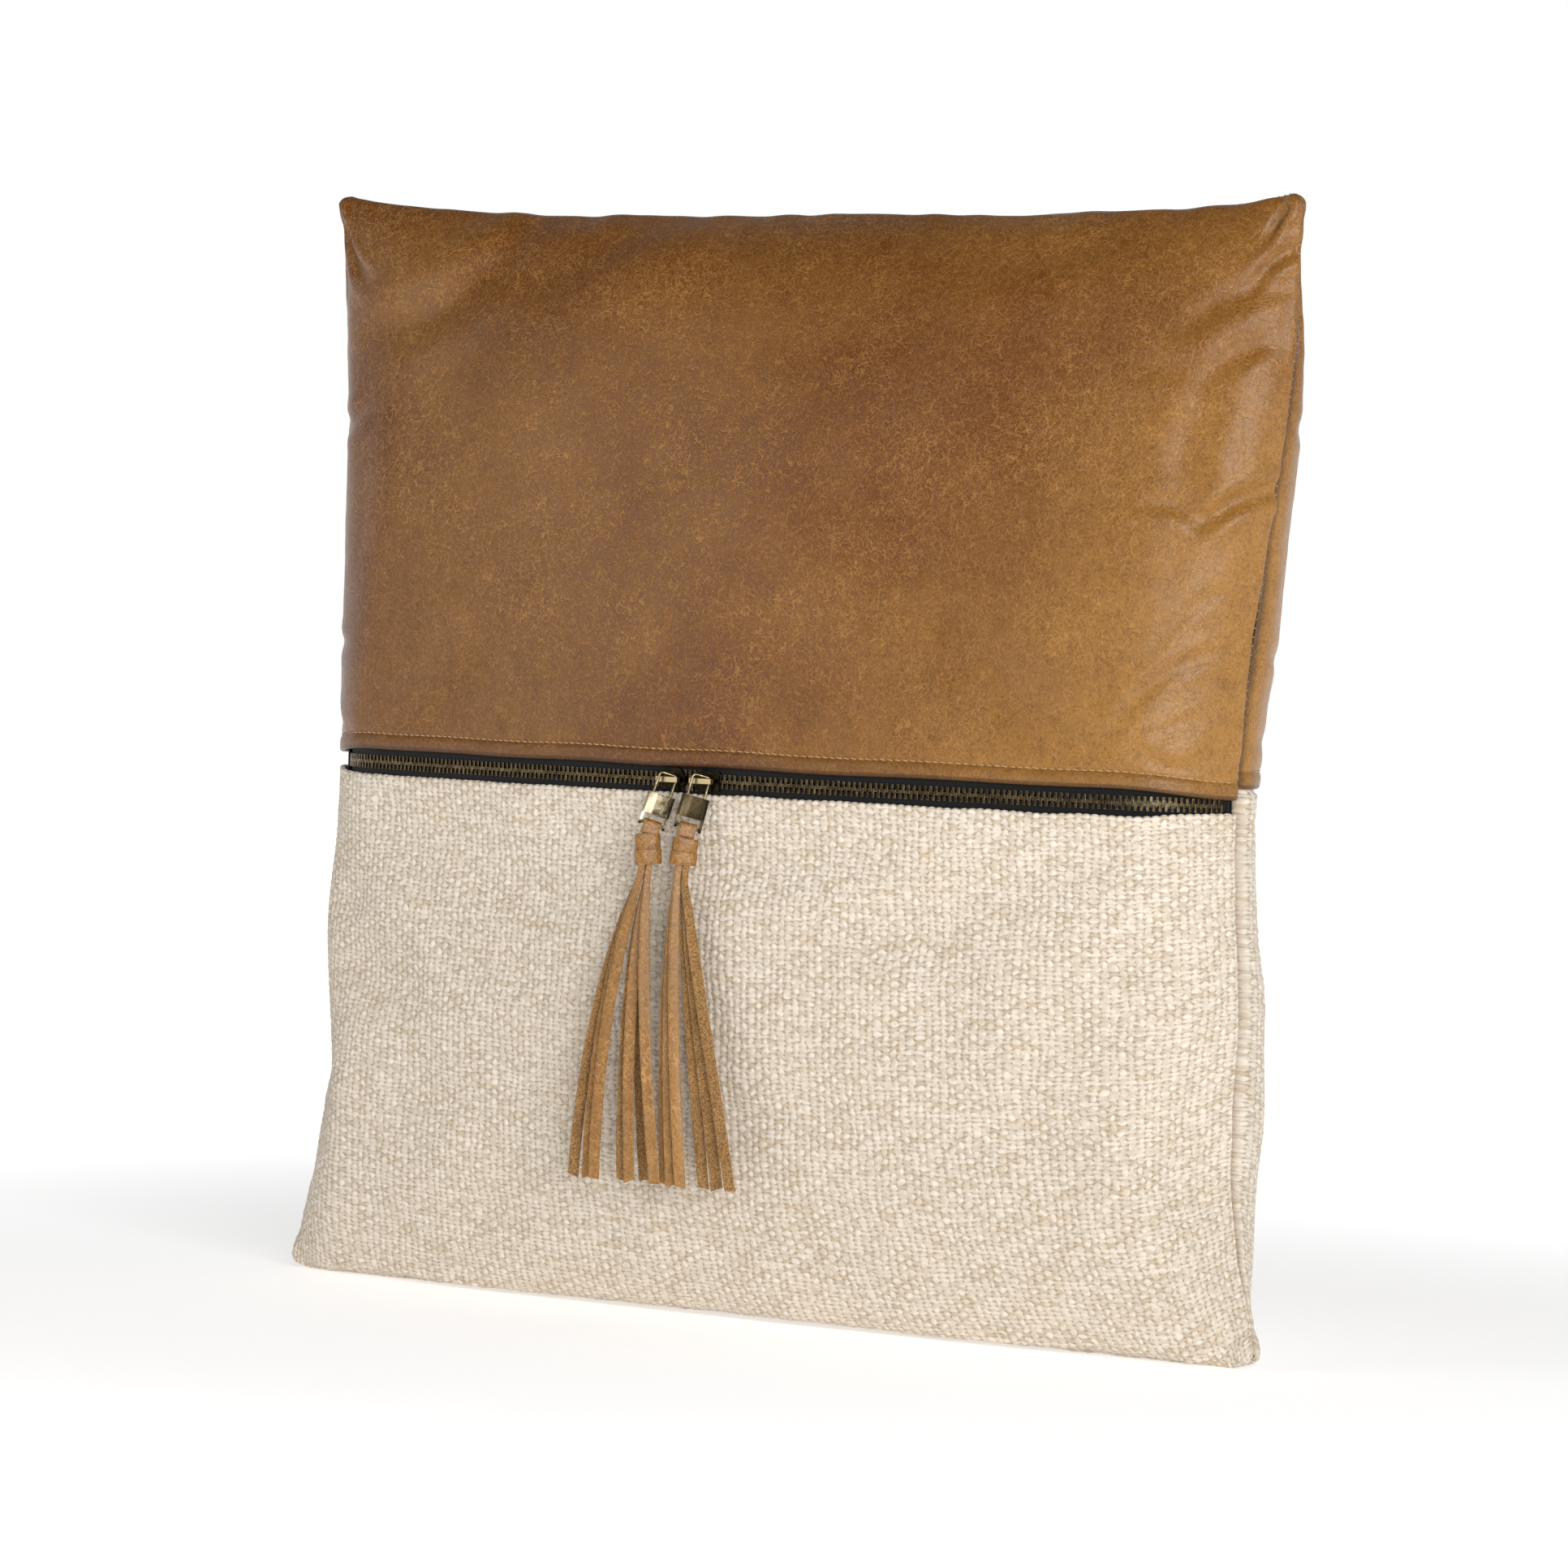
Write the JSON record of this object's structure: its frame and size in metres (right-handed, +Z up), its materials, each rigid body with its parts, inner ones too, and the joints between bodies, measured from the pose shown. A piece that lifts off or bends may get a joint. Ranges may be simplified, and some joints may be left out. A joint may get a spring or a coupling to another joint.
{
  "type": "throw pillow",
  "caption": "Square throw pillow with a two-tone cover, leather above and chunky weave below, a metal zip across the front, padlock pulls and leather tassels.",
  "frame": {"origin": "middle of the base that the pillow stands on, in the plane of the perimeter seam", "axes": "+Z up, -Y out of the zipped front, +X to the right as seen from the front; millimetres in the source, metres here"},
  "size_m": [0.4956, 0.1386, 0.49],
  "materials": {
    "leather": "satin",
    "woven_fabric": "matte",
    "zip_tape": "matte",
    "antique_brass": "satin",
    "tassel_leather": "satin",
    "ticking": "matte",
    "filling": "matte"
  },
  "bodies": {
    "root": {"front_leather_panel": "leather", "back_leather_panel": "leather", "front_fabric_panel": "woven_fabric", "back_fabric_panel": "woven_fabric", "zipper_tape_upper": "zip_tape", "zipper_tape_lower": "zip_tape", "zipper_teeth_upper": "antique_brass", "zipper_teeth_lower": "antique_brass", "insert_front_panel": "ticking", "insert_back_panel": "ticking", "insert_filling": "filling"},
    "slider_left": {"slider_left": "antique_brass"},
    "pull_left": {"pull_shackle_left": "antique_brass", "pull_box_left": "antique_brass", "pull_pin_left": "antique_brass"},
    "tassel_left": {"tassel_loop_left": "tassel_leather", "tassel_collar_left": "tassel_leather", "tassel_strip_left_1": "tassel_leather", "tassel_strip_left_2": "tassel_leather", "tassel_strip_left_3": "tassel_leather", "tassel_strip_left_4": "tassel_leather", "tassel_strip_left_5": "tassel_leather", "tassel_strip_left_6": "tassel_leather", "tassel_strip_left_7": "tassel_leather", "tassel_strip_left_8": "tassel_leather"},
    "slider_right": {"slider_right": "antique_brass"},
    "pull_right": {"pull_shackle_right": "antique_brass", "pull_box_right": "antique_brass", "pull_pin_right": "antique_brass"},
    "tassel_right": {"tassel_loop_right": "tassel_leather", "tassel_collar_right": "tassel_leather", "tassel_strip_right_1": "tassel_leather", "tassel_strip_right_2": "tassel_leather", "tassel_strip_right_3": "tassel_leather", "tassel_strip_right_4": "tassel_leather", "tassel_strip_right_5": "tassel_leather", "tassel_strip_right_6": "tassel_leather", "tassel_strip_right_7": "tassel_leather", "tassel_strip_right_8": "tassel_leather"}
  },
  "joints": [
    {"name": "slider_left_travel", "type": "hinge", "parent": "root", "child": "slider_left", "pos_m": [0, 0.71765, 0.232], "axis": [0, 0, -1], "range_deg": [0, 12.1], "deforming": ["zipper_teeth_upper", "zipper_teeth_lower"]},
    {"name": "pull_left_swing", "type": "hinge", "parent": "slider_left", "child": "pull_left", "pos_m": [-0.01311, -0.06492, 0.232], "axis": [-0.9999, 0.0167, 0], "range_deg": [0, 120]},
    {"name": "tassel_left_swing", "type": "hinge", "parent": "pull_left", "child": "tassel_left", "pos_m": [-0.01694, -0.06938, 0.21257], "axis": [-0.7533, -0.5928, 0.2848], "range_deg": [0, 70]},
    {"name": "slider_right_travel", "type": "hinge", "parent": "root", "child": "slider_right", "pos_m": [0, 0.71765, 0.232], "axis": [0, 0, 1], "range_deg": [0, 12.8], "deforming": ["zipper_teeth_upper", "zipper_teeth_lower"]},
    {"name": "pull_right_swing", "type": "hinge", "parent": "slider_right", "child": "pull_right", "pos_m": [0.00403, -0.06502, 0.232], "axis": [-1, -0.0052, 0], "range_deg": [0, 120]},
    {"name": "tassel_right_swing", "type": "hinge", "parent": "pull_right", "child": "tassel_right", "pos_m": [0.00109, -0.06891, 0.2123], "axis": [-0.7488, -0.62, 0.2344], "range_deg": [0, 70]}
  ]
}
